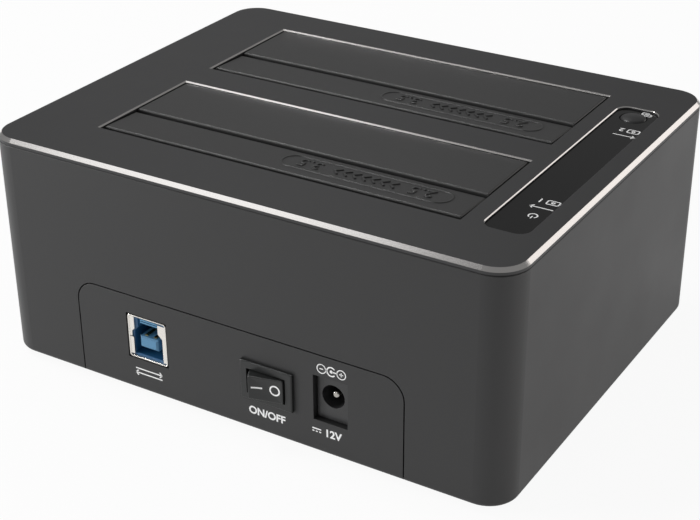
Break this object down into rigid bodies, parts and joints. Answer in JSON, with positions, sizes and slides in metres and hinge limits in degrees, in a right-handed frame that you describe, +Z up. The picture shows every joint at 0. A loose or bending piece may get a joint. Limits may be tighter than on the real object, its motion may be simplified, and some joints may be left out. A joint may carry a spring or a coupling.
{
  "type": "two-bay drive duplicator dock",
  "caption": "Low two-bay dock that reads and duplicates bare drives stood in sprung-flap bays, with a control strip and rear ports.",
  "frame": {"origin": "centre of the rectangle that the object covers, on the surface that it stands on", "axes": "+Z up, +X along the case and the bays towards the end without the control strip, +Y towards the rear face with the ports, -Y to the front"},
  "size_m": [0.149, 0.1216, 0.064],
  "materials": {
    "anodised_plate": "dark anodised, bright diamond-cut chamfers",
    "case_plastic": "fine satin charcoal moulding",
    "well_plastic": "black moulding",
    "flap_plastic": "fine satin charcoal moulding",
    "foot_rubber": "matte",
    "gloss_window": "gloss black",
    "button_plastic": "satin black",
    "switch_plastic": "black, lightly polished",
    "board_laminate": "green solder mask",
    "led_lens": "clear epoxy",
    "clear_guide": "clear acrylic",
    "white_nylon": "natural nylon",
    "ribbon_pvc": "grey PVC",
    "tinned_steel": "bright tin plate",
    "port_blue": "blue moulding",
    "gilt_contact": "gilt",
    "bright_pin": "nickel plate",
    "chip_epoxy": "moulded epoxy",
    "ferrite": "ferrite",
    "capacitor_can": "plain can",
    "hinge_steel": "ground steel",
    "spring_steel": "spring wire",
    "screw_steel": "zinc plate"
  },
  "bodies": {
    "chassis": {"base_screws": "screw_steel", "base_tray": "case_plastic", "bridge_chip": "chip_epoxy", "clock_crystal": "tinned_steel", "control_board": "board_laminate", "control_board_screws": "screw_steel", "dc_jack_body": "switch_plastic", "dc_jack_pin": "bright_pin", "duplicator_chip": "chip_epoxy", "flash_chip": "chip_epoxy", "front_bay_hinge_pins": "hinge_steel", "front_bay_well": "well_plastic", "front_drive_connector": "switch_plastic", "front_drive_contacts": "gilt_contact", "light_guides": "clear_guide", "link_connectors": "white_nylon", "link_ribbon": "ribbon_pvc", "main_board": "board_laminate", "main_board_screws": "screw_steel", "power_capacitors": "capacitor_can", "power_inductors": "ferrite", "power_regulators": "chip_epoxy", "rear_bay_hinge_pins": "hinge_steel", "rear_bay_well": "well_plastic", "rear_drive_connector": "switch_plastic", "rear_drive_contacts": "gilt_contact", "rocker_frame": "switch_plastic", "rubber_feet": "foot_rubber", "status_leds": "led_lens", "status_window": "gloss_window", "switch_terminals": "tinned_steel", "tact_switch": "switch_plastic", "top_plate": "anodised_plate", "upper_shell": "case_plastic", "usb_contacts": "gilt_contact", "usb_insulator": "port_blue", "usb_shell": "tinned_steel", "well_screws": "screw_steel"},
    "rear_narrow_flap": {"rear_bay_narrow_flap": "flap_plastic", "rear_narrow_flap_springs": "spring_steel"},
    "rear_wide_flap": {"rear_bay_wide_flap": "flap_plastic", "rear_wide_flap_springs": "spring_steel"},
    "front_narrow_flap": {"front_bay_narrow_flap": "flap_plastic", "front_narrow_flap_springs": "spring_steel"},
    "front_wide_flap": {"front_bay_wide_flap": "flap_plastic", "front_wide_flap_springs": "spring_steel"},
    "power_rocker": {"rocker": "switch_plastic"},
    "clone_key": {"clone_button": "button_plastic", "tact_plunger": "switch_plastic"}
  },
  "joints": [
    {"name": "rear_narrow_flap_hinge", "type": "hinge", "parent": "chassis", "child": "rear_narrow_flap", "pos_m": [0, 0.03664, 0.0614], "axis": [1, 0, 0], "range_deg": [0, 87.5], "stiffness_Nm_per_rad": 0.004, "springref_deg": -28.65, "deforming": ["rear_narrow_flap_springs"]},
    {"name": "rear_wide_flap_hinge", "type": "hinge", "parent": "chassis", "child": "rear_wide_flap", "pos_m": [0, 0.00444, 0.06145], "axis": [-1, 0, 0], "range_deg": [0, 90], "stiffness_Nm_per_rad": 0.004, "springref_deg": -28.65, "deforming": ["rear_wide_flap_springs"]},
    {"name": "front_narrow_flap_hinge", "type": "hinge", "parent": "chassis", "child": "front_narrow_flap", "pos_m": [0, -0.01196, 0.0614], "axis": [1, 0, 0], "range_deg": [0, 87.5], "stiffness_Nm_per_rad": 0.004, "springref_deg": -28.65, "deforming": ["front_narrow_flap_springs"]},
    {"name": "front_wide_flap_hinge", "type": "hinge", "parent": "chassis", "child": "front_wide_flap", "pos_m": [0, -0.04416, 0.06145], "axis": [-1, 0, 0], "range_deg": [0, 90], "stiffness_Nm_per_rad": 0.004, "springref_deg": -28.65, "deforming": ["front_wide_flap_springs"]},
    {"name": "power_rocker_pivot", "type": "hinge", "parent": "chassis", "child": "power_rocker", "pos_m": [-0.0103, 0.05594, 0.0162], "axis": [0, 0, 1], "range_deg": [-26, 0]},
    {"name": "clone_key_travel", "type": "slide", "parent": "chassis", "child": "clone_key", "axis": [0, 0, -1], "range_m": [0, 0.0008], "stiffness_N_per_m": 1500, "springref_m": -0.0003}
  ]
}
